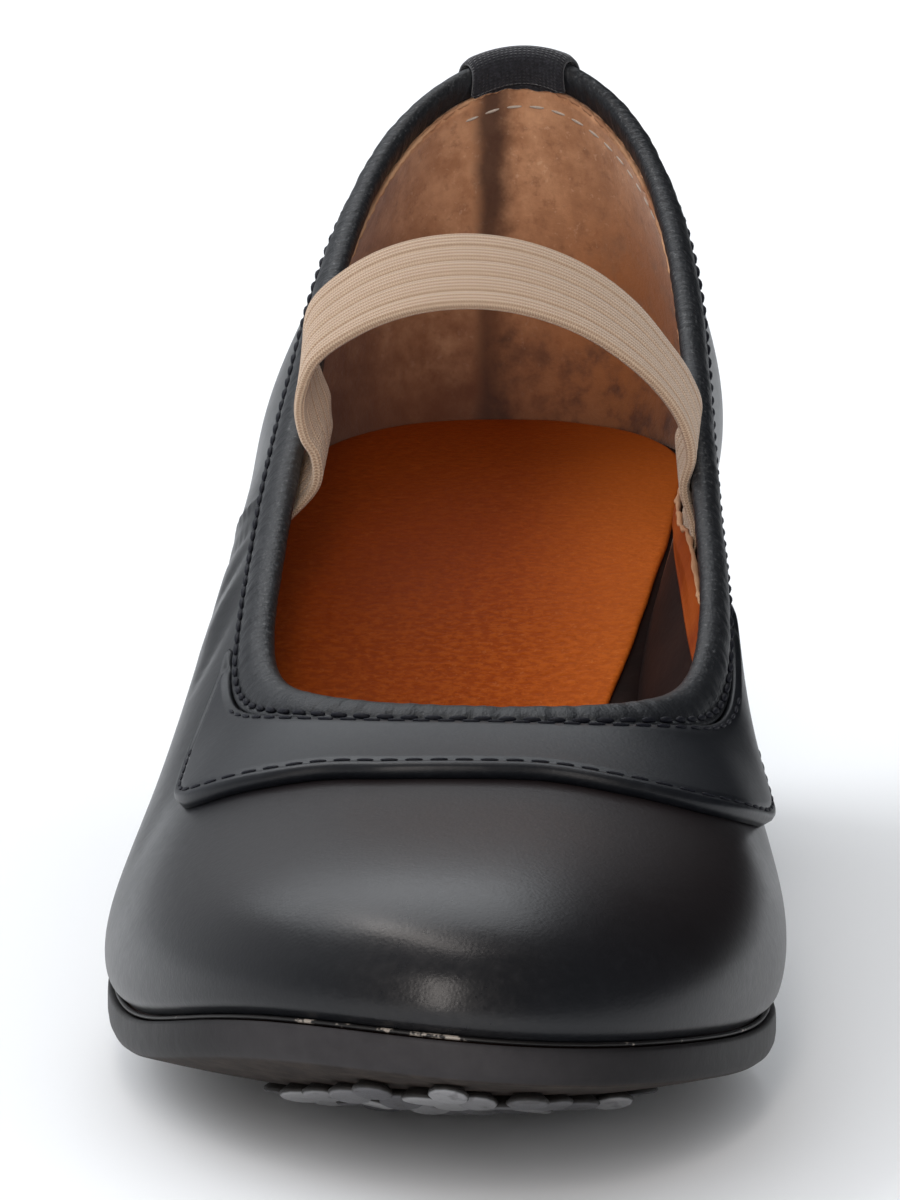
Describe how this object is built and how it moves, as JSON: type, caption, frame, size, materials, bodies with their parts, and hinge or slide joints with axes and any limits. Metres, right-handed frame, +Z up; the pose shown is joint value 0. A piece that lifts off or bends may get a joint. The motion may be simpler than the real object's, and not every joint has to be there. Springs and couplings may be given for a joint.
{
  "type": "flamenco shoe",
  "caption": "Low-cut flamenco dance shoe with rounded toe, raised throat band, bound topline, elastic instep strap, block heel and nailed forepart.",
  "frame": {"origin": "on the floor under the middle of the shoe's bounding box, where the heel and the nailed forepart stand", "axes": "+Z up, the heel toward +Y, the toe toward -Y, the inner (arch) side of the foot toward +X"},
  "size_m": [0.0796, 0.2336, 0.099],
  "materials": {
    "black_leather": "smooth anthracite-black calf leather, satin",
    "sole_leather": "dense sole leather with a black waxed edge",
    "orange_leather": "orange-brown lining leather with a fine embossed grain",
    "beige_elastic": "ribbed woven elastic",
    "black_textile": "matte woven tape",
    "black_rubber": "matte",
    "nail_steel": "worn flat nail heads"
  },
  "bodies": {
    "root": {"outsole": "sole_leather", "toe_nails": "nail_steel", "heel_block": "black_leather", "heel_top_piece": "black_rubber", "insole": "orange_leather", "upper": "black_leather", "throat_overlay": "black_leather", "topline_binding": "black_leather", "back_tab": "black_textile", "elastic_strap": "beige_elastic"}
  },
  "joints": []
}
